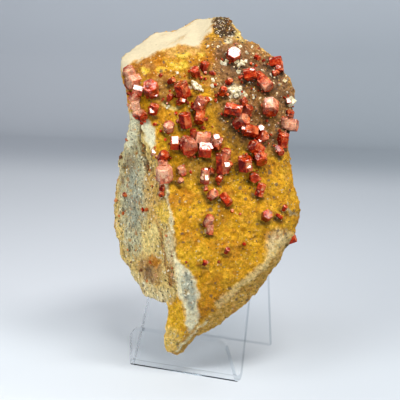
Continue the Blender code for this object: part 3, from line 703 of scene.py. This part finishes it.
def crystal_material():
    """Vanadinite: a resinous shine over facets that are broken into slightly leaning blocks."""
    m = Nodes("vanadinite_crystal")
    place = m.place()
    normal = m.add("ShaderNodeNewGeometry").outputs["Normal"]
    blocks = m.add("ShaderNodeTexVoronoi", {"Vector": m.warped(place, 2.0, 0.4), "Scale": 1 / 1.25},
                   distance="MANHATTAN").outputs["Color"]
    step = m.add("ShaderNodeSeparateColor", {"Color": blocks}).outputs[0]
    base = crystal_colour(m, place, normal, step)
    uneven = m.math("ADD", 0.15, m.times(m.between(m.noise(place, 2.6), 0.46, 0.56), 0.85))
    uneven = m.times(uneven, m.rest(m.attribute("clean")))
    normal = m.bump(m.noise(place, 0.8, detail=3), 0.16 * MM, uneven)
    normal = m.bump(step, 0.10 * MM, m.times(uneven, 0.6), normal)
    lean = m.vector("SCALE", {0: m.centred(blocks), "Scale": m.times(uneven, BLOCK_LEAN)})
    normal = m.vector("NORMALIZE", {0: m.vector("ADD", {0: normal, 1: lean})})
    rough = m.ranged(m.noise(place, 0.8), 0.35, 0.7, 0.05, 0.22)
    m.set(Base_Color=base, Roughness=rough, Normal=normal, IOR=1.52, Specular_IOR_Level=0.55)
    m.set(Subsurface_Weight=0.2, Subsurface_Radius=(1.0, 0.22, 0.04), Subsurface_Scale=1.1 * MM)
    return m.material


def barite_material():
    m = Nodes("barite_blade")
    place = m.place()
    base = m.mix(m.between(m.noise(place, 0.8), 0.4, 0.65), colour(238, 230, 200), colour(206, 184, 128))
    m.set(Base_Color=base, Normal=m.bump(m.noise(place, 0.3), 0.05 * MM, 0.6), Roughness=0.35)
    m.set(Subsurface_Weight=0.2, Subsurface_Radius=(1, 0.9, 0.7), Subsurface_Scale=0.6 * MM)
    return m.material


def acrylic_material():
    """The sheet's faces: clear, with a faint blue in its thickness."""
    m = Nodes("clear_acrylic_sheet")
    m.set(Base_Color=(0.985, 0.99, 0.995, 1), Roughness=0.0, IOR=ACRYLIC_IOR, Transmission_Weight=1.0)
    tint = m.add("ShaderNodeVolumeAbsorption", {"Color": (0.72, 0.78, 0.82, 1), "Density": 50.0})
    m.tree.links.new(tint.outputs["Volume"], m.tree.nodes["Material Output"].inputs["Volume"])
    return m.material


def cut_edge_material(name, ior, tint):
    """The sheet's sawn edges, which let through less light than its faces."""
    m = Nodes(name)
    m.set(Base_Color=(*tint, 1), Roughness=0.12, IOR=ior, Transmission_Weight=1.0)
    return m.material


def table_material():
    """A pale table going over into a greyer backdrop, both with painted light falloff."""
    m = Nodes("pale_table")
    place = m.add("ShaderNodeSeparateXYZ", {"Vector": m.add("ShaderNodeTexCoord").outputs["Object"]})
    aside, away, high = place.outputs["X"], place.outputs["Y"], place.outputs["Z"]
    # Painted light: the table is palest near the front and on the left, and darker further back and to the
    # right.
    near = m.mix(m.between(aside, -0.06, 0.06), colour(211, 217, 223), colour(190, 196, 202))
    far = m.mix(m.between(aside, -0.10, 0.10), colour(202, 206, 212), colour(184, 190, 197))
    floor = m.mix(m.between(away, 0.0, 0.08), near, far)
    # Painted light: the backdrop is darker towards the right and at its foot, and lighter higher up.
    rightward = m.between(aside, -0.22, 0.04)
    low = m.mix(rightward, colour(178, 183, 191), colour(158, 166, 174))
    top = m.mix(rightward, colour(188, 194, 202), colour(180, 187, 195))
    backdrop = m.mix(m.between(high, 0.0, 0.11), low, top)
    m.set(Base_Color=m.mix(m.between(away, 0.27, 0.37), floor, backdrop), Roughness=0.8)
    return m.material


# ---------------------------------------------------------------- the rock


def fine_rock_mesh():
    """The CAD rock's surface, remeshed finely and smoothed."""
    rock = bpy.data.objects.new("rock_base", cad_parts["matrix"].data.copy())
    bpy.context.scene.collection.objects.link(rock)
    skin = rock.modifiers.new("Skin", "REMESH")
    skin.mode = "VOXEL"
    skin.voxel_size = ROCK_VOXEL
    soft = rock.modifiers.new("Soft", "SMOOTH")
    soft.factor = 0.5
    soft.iterations = ROCK_SMOOTHING
    mesh = evaluated_mesh(rock)
    bpy.data.objects.remove(rock)
    return mesh


def lumpy_tint(points, lumps):
    """Ochre with lumps of other colours in it, laid over one another."""
    tint = np.tile(OCHRE, (len(points), 1))
    for size, salt, low, high, shade, strength in lumps:
        tint = painted(tint, smooth_step(low, high, noise_at(points, size * MM, salt)) * strength, shade)
    return tint


def face_tint(points, places):
    """The colours of the face, marking over marking; and the share of each mark."""
    shares = {}
    tint = lumpy_tint(points, FACE_LUMPS)
    for marks, share_of in ((FACE_AREAS, area_share), (FACE_LINES, line_share)):
        for name, (outline, width, shade, strength) in marks.items():
            shares[name] = share_of(places, outline, width)
            tint = painted(tint, shares[name] * strength, shade)
    return tint, shares


def rock_height(points, places, front, shares):
    """How far the skin is raised from the CAD surface in metres, and how fibrous and smooth it is."""
    smooth = shares["cream_top"] + 0.6 * shares["mint_patch"] + 0.5 * shares["mint_rim"]
    smooth = np.clip(smooth, 0, 1) * front
    fibre = shares["left_face"] * front * np.prod([1 - 0.65 * shares[name] for name in UNFIBRED], axis=0)
    fibre = np.clip(fibre + (0.8 * shares["grey_patch"] + 0.5 * shares["tip_pale"]) * front, 0, 1)
    rough = (1 - 0.75 * smooth) * (1 - 0.4 * fibre)
    height = 0.22 * MM * noise_at(points, 3.2 * MM, 21)
    height += 0.26 * MM * noise_at(points, 1.5 * MM, 22) * rough
    near, tone = cells_at(points, 1.15 * MM, 23)
    height += 0.50 * MM * (0.5 - near) * rough * (0.5 + tone)
    pit_near, pit_tone = cells_at(points, 3.4 * MM, 24)
    height -= 0.6 * MM * smooth_step(0.34, 0.1, pit_near) * (pit_tone > 0.55) * rough
    turned = points @ np.array((RIGHT, AHEAD, UP * 0.13)).T
    strings = 1 - 2 * np.abs(noise_at(turned, 1.3 * MM, 25))
    layers = noise_at(turned, 3.0 * MM, 26)
    height += fibre * (0.30 * MM * strings + 0.5 * MM * layers)
    for line in FISSURES:
        height -= FISSURE_DEPTH * line_share(places, line, FISSURE_WIDTH) * front
    crust_near, _ = cells_at(points, 1.8 * MM, 27)
    height += shares["black_crust"] * front * 0.9 * MM * (0.55 - crust_near)
    height += shares["ridge_line"] * front * 0.35 * MM
    height += (0.5 * shares["crease_cream_and_highlight"] + shares["tip_line"]) * front * 0.25 * MM
    return height, fibre, smooth


def crystal_painted_shadows(tree, points):
    """Each point's distance to the crystals, and the shadow painted there, mostly below and left of them."""
    closeness, painted_shadow = np.full(len(points), PAINTED_SHADOW_REACH), np.zeros(len(points))
    for i, point in enumerate(points):
        nearest, _, _, far = tree.find_nearest(Vector(point), PAINTED_SHADOW_REACH)
        if nearest is None:
            continue
        aside = (nearest - Vector(point)) / max(far, 1e-6)
        closeness[i] = far
        painted_shadow[i] = np.clip(0.45 * aside.dot(RIGHT) + 0.75 * aside.dot(UP) + 0.25, 0, 1)
    return closeness, painted_shadow * smooth_step(PAINTED_SHADOW_REACH, 0.4 * PAINTED_SHADOW_REACH, closeness)


def drifted(places, points):
    """The places, moved a little by noise, so that the markings have natural borders."""
    drift = np.column_stack((noise_at(points, 2.6 * MM, 31), noise_at(points, 2.6 * MM, 32)))
    drift += 0.5 * np.column_stack((noise_at(points, 1.1 * MM, 33), noise_at(points, 1.1 * MM, 34)))
    return places + MARK_DRIFT * drift


def make_rock(material, crystal_names):
    """The rock's skin, and what is known of each of its points, for the pieces that lie on it."""
    mesh = fine_rock_mesh()
    points = array_of(mesh.vertices, "co", 3)
    normals = array_of(mesh.vertex_normals, "vector", 3)
    sight = np.array(EYE) - points
    sight /= np.linalg.norm(sight, axis=1)[:, None]
    front = smooth_step(*FRONT_FADE, np.sum(normals * sight, axis=1))
    places = layout_of(points)
    marked = drifted(places, points)
    tint, shares = face_tint(points, marked)
    tint = tint * front[:, None] + lumpy_tint(points, BACK_LUMPS) * (1 - front[:, None])
    height, fibre, smooth = rock_height(points, marked, front, shares)
    closeness, painted_shadow = crystal_painted_shadows(surface_tree(node_meshes(crystal_names)), points)
    # Painted shadow of the crystals: the rock's colour is darkened below and left of them.
    tint *= (1 - PAINTED_SHADOW_STRENGTH * painted_shadow)[:, None]
    height += COLLAR_HEIGHT * smooth_step(COLLAR_REACH, 0.3 * COLLAR_REACH, closeness)
    room = distances_from(surface_tree(node_meshes(["easel"])), points, EASEL_SEARCH) - EASEL_GAP
    height = np.minimum(height, room)
    points += normals * height[:, None]
    mesh.vertices.foreach_set("co", points.astype(np.float32).ravel())
    # Dull in the brown upper areas and where shade is painted in the centre.
    dull = np.clip(shares["brown_upper"] + shares["umber_upper"] + shares["centre_shade"], 0, 1) * front
    store_tint(mesh, tint)
    for name, values in (("fibre", fibre), ("smooth", smooth), ("dull", dull)):
        store(mesh, name, values)
    mesh.shade_smooth()
    mesh.update()
    add_piece("rock", mesh, material, ("matrix",))
    return {
        "mesh": mesh, "points": points, "normals": array_of(mesh.vertex_normals, "vector", 3),
        "places": places, "front": front, "tint": tint, "smooth": smooth, "fibre": fibre,
        "shares": shares, "room": room - height, "closeness": closeness,
    }


# ---------------------------------------------------------------- grains, small crystals and flakes


def axes_on(normals, rng, tilt):
    """Random axes that stand on the surface: the third leans from the normal by about the tilt."""
    up = normals + tilt * rng.normal(size=normals.shape)
    up /= np.linalg.norm(up, axis=1)[:, None]
    side = np.cross(up, rng.normal(size=up.shape))
    side /= np.linalg.norm(side, axis=1)[:, None]
    return np.stack((side, np.cross(up, side), up), axis=2)


def ball_shape():
    bm = bmesh.new()
    bmesh.ops.create_icosphere(bm, subdivisions=1, radius=1)
    corners = np.array([vertex.co[:] for vertex in bm.verts])
    faces = [[vertex.index for vertex in face.verts] for face in bm.faces]
    bm.free()
    return corners, faces


def prism_shape(sides):
    """An upright prism from -1 to 1, with a narrow bevel round each end."""
    corners, faces = [], []
    for height, reach in ((-1, 0.86), (-0.86, 1), (0.86, 1), (1, 0.86)):
        for i in range(sides):
            angle = 2 * math.pi * (i + 0.5) / sides
            corners.append((reach * math.cos(angle), reach * math.sin(angle), height))
    for low in range(0, 3 * sides, sides):
        for i in range(sides):
            after = (i + 1) % sides
            faces.append([low + i, low + after, low + sides + after, low + sides + i])
    faces += [list(range(sides))[::-1], list(range(3 * sides, 4 * sides))]
    return np.array(corners), faces


def joined_mesh(name, shape, centres, axes, sizes, tints=None, jitter=0.0, rng=None):
    """One mesh of many copies of a shape, each with its own place, axes, sizes and tint (or white)."""
    corners, faces = shape
    count, centres = len(corners), np.array(centres)
    copies = np.repeat(corners[None], len(centres), axis=0)
    if jitter:
        copies = copies * (1 + jitter * rng.uniform(-1, 1, size=(*copies.shape[:2], 1)))
    points = np.einsum("nij,nkj->nki", np.array(axes), copies * np.array(sizes)[:, None]) + centres[:, None]
    mesh = bpy.data.meshes.new(name)
    all_faces = [[start * count + i for i in face] for start in range(len(centres)) for face in faces]
    mesh.from_pydata(points.reshape(-1, 3).tolist(), [], all_faces)
    store_tint(mesh, np.repeat(np.ones((len(centres), 3)) if tints is None else tints, count, axis=0))
    return mesh


def milkiness(mesh):
    """Marks how milky, and how clean and flat, the crystals are at each point of the mesh."""
    places = layout_of(array_of(mesh.vertices, "co", 3))
    pale, clean = np.zeros(len(places)), np.zeros(len(places))
    for across, down, reach, strength in PALE_SPOTS:
        far = np.linalg.norm(places - (across, down), axis=1)
        pale = np.maximum(pale, strength * smooth_step(reach, 0.55 * reach, far))
    for across, down, reach in CLEAN_SPOTS:
        clean[np.linalg.norm(places - (across, down), axis=1) < reach] = 1
    store(mesh, "pale", pale)
    store(mesh, "clean", clean)


def add_crystals(name, material, *mesh_parts):
    """A vanadinite piece of many small crystals."""
    mesh = joined_mesh(name, *mesh_parts)
    milkiness(mesh)
    return add_piece(name, mesh, material)


def make_grains(skin, material, rng):
    """Loose grains and tiny crystals of the rock itself, thickest where it is coarse."""
    shares, front = skin["shares"], skin["front"]
    upper = np.clip(shares["brown_upper"] + shares["umber_upper"], 0, 1) * front
    weight = 0.5 + 0.9 * upper + 0.5 * shares["orange_zone"] * front + 0.6 * skin["fibre"]
    weight += 3.0 * shares["black_crust"] * front + 0.8 * shares["left_brown"] * front
    weight += 1.6 * shares["tip_pale"] * front
    weight *= (1 - skin["smooth"]) * (1 - shares["cream_fringe"] * front) * (skin["room"] > PIECE_ROOM)
    chosen = rng.choice(len(weight), GRAIN_COUNT, replace=False, p=weight / weight.sum())
    spread = rng.uniform(0, 1, GRAIN_COUNT) ** 2.2
    low, high = GRAIN_RADIUS
    radius = low + (high - low) * spread * (0.7 + 0.5 * upper[chosen])
    sizes = radius[:, None] * rng.uniform((0.7, 0.7, 0.5), (1.25, 1.25, 1.0), size=(GRAIN_COUNT, 3))
    # Each grain takes the rock's tint there, painted shadow included, lighter or darker at random.
    tints = skin["tint"][chosen] * rng.uniform(0.35, 1.5, size=(GRAIN_COUNT, 1))
    kinds = rng.uniform(0, 1, GRAIN_COUNT)
    crust = shares["black_crust"][chosen] * front[chosen]
    everywhere = np.ones(GRAIN_COUNT, bool)
    for here, table in (
        (everywhere, GRAIN_KINDS), (upper[chosen] > 0.4, UPPER_GRAIN_KINDS), (crust > 0.5, CRUST_GRAIN_KINDS),
    ):
        for start, end, shade in table:
            tints[here & (kinds > start) & (kinds <= end)] = shade
    normals = skin["normals"][chosen]
    centres = skin["points"][chosen] - normals * (GRAIN_SINK * radius)[:, None]
    axes = axes_on(normals, rng, 0.5)
    mesh = joined_mesh("grains", ball_shape(), centres, axes, sizes, np.clip(tints, 0, 1), 0.3, rng)
    return add_piece("grains", mesh, material)


def make_tiny_crystals(skin, material, rng):
    """Small vanadinite prisms round the larger ones, in a band of the upper face."""
    across, down = skin["places"].T
    top, full_from, full_to, bottom = TINY_BAND
    near = smooth_step(COLLAR_REACH, 0.5 * COLLAR_REACH, skin["closeness"])
    weight = (0.15 + near) * skin["front"] * (1 - skin["smooth"])
    weight *= smooth_step(top, full_from, down) * smooth_step(bottom, full_to, down)
    weight *= (skin["room"] > 2 * PIECE_ROOM) * (across > TINY_LEFT_END) * (1 - skin["shares"]["left_face"])
    chosen = rng.choice(len(weight), TINY_CRYSTALS, replace=False, p=weight / weight.sum())
    radius = rng.uniform(*TINY_RADIUS, TINY_CRYSTALS) * MM
    sizes = np.column_stack((radius, radius, radius * rng.uniform(0.6, 1.3, TINY_CRYSTALS)))
    normals = skin["normals"][chosen]
    centres = skin["points"][chosen] + normals * 0.3 * radius[:, None]
    return add_crystals("tiny_crystals", material, prism_shape(6), centres, axes_on(normals, rng, 0.7), sizes)


def seated(tree, entries, sink):
    """Centres, normals and radii of small pieces on the rock, each at its place on the layout grid."""
    centres, normals, radii = [], [], []
    for across, down, radius in entries:
        hit, normal = sight_hit(tree, across, down)
        if hit is None:
            continue
        centres.append(hit - normal * (sink * radius * MM))
        normals.append(normal)
        radii.append(radius * MM)
    return np.array(centres), np.array(normals), np.array(radii)


def make_small_crystals(tree, material, rng):
    """Small vanadinite prisms that stand singly, each at its own place."""
    centres, normals, radii = seated(tree, SMALL_CRYSTALS, -0.35)
    sizes = np.column_stack((radii, radii, radii * rng.uniform(0.7, 1.2, len(radii))))
    axes = axes_on(normals, rng, 0.5)
    return add_crystals("small_crystals", material, prism_shape(6), centres, axes, sizes)


def make_rusty_lumps(tree, material, rng):
    centres, normals, radii = seated(tree, RUSTY_LUMPS, 0.2)
    sizes = radii[:, None] * rng.uniform(0.7, 1.1, size=(len(radii), 3))
    axes = axes_on(normals, rng, 0.5)
    tints = np.array(LUMP_COLOURS)[rng.integers(0, len(LUMP_COLOURS), len(radii))]
    mesh = joined_mesh("rusty_lumps", ball_shape(), centres, axes, sizes, tints, 0.25, rng)
    return add_piece("rusty_lumps", mesh, material)


def make_barite_flakes(tree, material, rng):
    """Thin blades, a few to each place."""
    entries = [
        (across + rng.uniform(-1.0, 1.0), down + rng.uniform(-1.0, 1.0), radius * rng.uniform(0.7, 1.2))
        for across, down, radius in BARITE_FLAKES for _ in range(FLAKES_PER_PLACE)
    ]
    centres, normals, radii = seated(tree, entries, -0.15)
    sizes = radii[:, None] * np.array((1.0, 0.8, 0.2)) * rng.uniform(0.8, 1.2, size=(len(radii), 3))
    mesh = joined_mesh("barite_flakes", prism_shape(4), centres, axes_on(normals, rng, 0.45), sizes)
    return add_piece("barite_flakes", mesh, material)


# ---------------------------------------------------------------- crystals and easel


def flat_shaded(mesh):
    """The mesh with smooth bevels between facets that are shaded truly flat."""
    mesh.shade_smooth()
    mesh.set_sharp_from_angle(angle=SHADING_ANGLE)
    holder = bpy.data.objects.new("flat_shading", mesh)
    bpy.context.scene.collection.objects.link(holder)
    weighted = holder.modifiers.new("Flat", "WEIGHTED_NORMAL")
    weighted.weight = 100
    weighted.keep_sharp = True
    flat = evaluated_mesh(holder)
    bpy.data.objects.remove(holder)
    return flat


def fine_crystal(node, material, edge_width):
    """The CAD crystal with its facets cleaned up and its exposed edges rounded."""
    bm = clean_facets(node)
    sharp = [edge for edge in bm.edges
             if len(edge.link_faces) == 2 and edge.calc_face_angle(0) > EDGE_ANGLE
             and edge.calc_length() > 2.5 * edge_width]
    bmesh.ops.bevel(bm, geom=sharp, offset=edge_width, segments=2, profile=0.6, affect="EDGES",
                    clamp_overlap=True)
    mesh = flat_shaded(mesh_of(bm, f"fine_{node}"))
    milkiness(mesh)
    return add_piece(f"fine_{node}", mesh, material, (node,))


def facet_room(centre, face):
    """How far the centre lies from the nearest side of its facet."""
    room = math.inf
    for edge in face.edges:
        start, end = edge.verts[0].co, edge.verts[1].co
        along = (end - start).normalized()
        offset = centre - start
        room = min(room, (offset - along * offset.dot(along)).length)
    return room


def make_growth_steps(nodes, material, rng):
    """Thin raised plates on the crystals' facets, as crystals grow in steps."""
    centres, axes, sizes = [], [], []
    for node in nodes:
        bm = clean_facets(node)
        for face in bm.faces:
            if face.calc_area() < STEP_AREA:
                continue
            along = (face.verts[1].co - face.verts[0].co).normalized()
            for _ in range(STEPS_PER_FACET):
                corner = face.verts[rng.integers(len(face.verts))].co
                centre = face.calc_center_median().lerp(corner, rng.uniform(0.1, 0.6))
                reach = 0.9 * facet_room(centre, face)
                if reach < SMALLEST_STEP:
                    continue
                centres.append(centre)
                axes.append(np.array((along, face.normal.cross(along), face.normal)).T)
                sizes.append((reach, reach * rng.uniform(0.5, 1.0), rng.uniform(0.04, 0.11) * MM))
        bm.free()
    return add_crystals("growth_steps", material, prism_shape(6), centres, axes, sizes)


def make_bright_plates(rock, crystals, material):
    """Small thin crystals, turned so that they mirror the key light, on whatever lies under their places."""
    tree = surface_tree([rock] + node_meshes(crystals))
    key = eye_frame(*KEY_PLACE)
    centres, axes, sizes = [], [], []
    for across, down, breadth, height, turn in BRIGHT_PLATES:
        hit, _ = sight_hit(tree, across, down)
        if hit is None:
            continue
        facing = ((EYE - hit).normalized() + (key - hit).normalized()).normalized()
        level = facing.cross(-RIGHT).cross(facing).normalized()
        side = Matrix.Rotation(math.radians(turn), 3, facing) @ level
        centres.append(hit + facing * 0.05 * MM)
        axes.append(np.array((side, facing.cross(side), facing)).T)
        sizes.append((0.71 * breadth * GRID_UNIT, 0.78 * height * GRID_UNIT, 0.3 * MM))
    piece = add_crystals("bright_plates", material, prism_shape(4), centres, axes, sizes)
    every = np.ones(len(piece.data.vertices), np.float32)
    piece.data.attributes["clean"].data.foreach_set("value", every)
    return piece


def make_easel(materials):
    """The CAD sheet with clear faces, sawn sides, and sawn ends: the thin strips that end in a sharp edge."""
    bm = clean_facets("easel", SHEET_FLATNESS)
    for face in bm.faces:
        longest = max(face.edges, key=lambda edge: edge.calc_length())
        thin = face.calc_area() < END_THICKNESS * longest.calc_length()
        cut_end = thin and longest.calc_face_angle(0) > CUT_ANGLE
        face.material_index = 1 if abs(face.normal.x) > SIDE_FACING else 2 * cut_end
    mesh = flat_shaded(mesh_of(bm, "easel_sheet", materials))
    piece = add_piece("easel_sheet", mesh, materials[0], ("easel",))
    piece.visible_shadow = False
    piece.visible_diffuse = False
    return piece


# ---------------------------------------------------------------- stage, lights and camera


def make_stage(material):
    """A pale table that curves up into a backdrop behind the specimen."""
    profile = [(TABLE_FRONT, 0.0)]
    for step in range(CURVE_STEPS + 1):
        angle = math.pi / 2 * step / CURVE_STEPS
        risen = BACKDROP_CURVE * (1 - math.cos(angle))
        profile.append((BACKDROP_AWAY + BACKDROP_CURVE * math.sin(angle), risen))
    profile.append((BACKDROP_AWAY + BACKDROP_CURVE, BACKDROP_TOP))
    bm = bmesh.new()
    rows = [[bm.verts.new((x, y, z)) for x in (-STAGE_HALF_WIDTH, STAGE_HALF_WIDTH)] for y, z in profile]
    for low, high in zip(rows, rows[1:]):
        bm.faces.new((low[0], low[1], high[1], high[0]))
    mesh = mesh_of(bm, "table", [material])
    mesh.shade_smooth()
    table = bpy.data.objects.new("table", mesh)
    table.rotation_euler.z = STAGE_TURN
    table.visible_glossy = False
    bpy.context.scene.collection.objects.link(table)


def add_softbox(name, place, size, power, tone):
    light = bpy.data.lights.new(name, "AREA")
    light.shape = "RECTANGLE"
    light.size, light.size_y = size
    light.energy = power
    light.color = tone
    lamp = bpy.data.objects.new(name, light)
    lamp.location = eye_frame(*place)
    lamp.visible_glossy = name != UNMIRRORED
    lamp.rotation_euler = (MIDDLE - eye_frame(*place)).to_track_quat("-Z", "Y").to_euler()
    bpy.context.scene.collection.objects.link(lamp)


def make_lights():
    for softbox in SOFTBOXES:
        add_softbox(*softbox)
    world = bpy.data.worlds.new("studio")
    world.use_nodes = True
    background = world.node_tree.nodes["Background"]
    background.inputs["Color"].default_value = SKY_TONE
    background.inputs["Strength"].default_value = SKY_STRENGTH
    bpy.context.scene.world = world


def make_camera():
    data = bpy.data.cameras.new("camera")
    data.sensor_width = FILM_WIDTH
    data.lens = FILM_WIDTH * EYE_DISTANCE / (GRID_UNIT * GRID_SIZE)
    data.clip_start = 0.01
    data.clip_end = 20
    camera = bpy.data.objects.new("camera", data)
    axes = Matrix((RIGHT, UP, -AHEAD)).transposed()
    camera.matrix_world = Matrix.Translation(EYE) @ axes.to_4x4()
    bpy.context.scene.collection.objects.link(camera)
    bpy.context.scene.camera = camera


def main():
    make_camera()
    make_lights()
    make_stage(table_material())
    crystals = [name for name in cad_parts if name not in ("easel", "matrix")]
    red_crystals = [name for name in crystals if not name.startswith("barite")]
    vanadinite, barite = crystal_material(), barite_material()
    rng = np.random.default_rng(SEED)
    skin = make_rock(rock_material(), crystals)
    grains = grain_material()
    make_grains(skin, grains, rng)
    make_tiny_crystals(skin, vanadinite, rng)
    tree = surface_tree([skin["mesh"]])
    make_small_crystals(tree, vanadinite, rng)
    make_rusty_lumps(tree, grains, rng)
    make_barite_flakes(tree, barite, rng)
    for node in crystals:
        if node in red_crystals:
            fine_crystal(node, vanadinite, CRYSTAL_BEVEL)
        else:
            fine_crystal(node, barite, BARITE_BEVEL)
    make_growth_steps(red_crystals, vanadinite, rng)
    make_bright_plates(skin["mesh"], crystals, vanadinite)
    make_easel([
        acrylic_material(),
        cut_edge_material("acrylic_side_edge", ACRYLIC_IOR, (0.60, 0.65, 0.70)),
        cut_edge_material("acrylic_end_edge", END_IOR, (0.84, 0.87, 0.90)),
    ])


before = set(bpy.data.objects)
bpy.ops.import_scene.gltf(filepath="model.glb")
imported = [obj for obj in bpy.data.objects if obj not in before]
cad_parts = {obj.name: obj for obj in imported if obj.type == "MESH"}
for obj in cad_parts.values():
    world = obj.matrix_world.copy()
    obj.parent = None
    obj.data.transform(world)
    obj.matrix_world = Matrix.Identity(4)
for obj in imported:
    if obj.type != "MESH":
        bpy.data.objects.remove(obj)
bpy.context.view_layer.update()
bpy.context.scene.view_settings.view_transform = "Standard"
main()
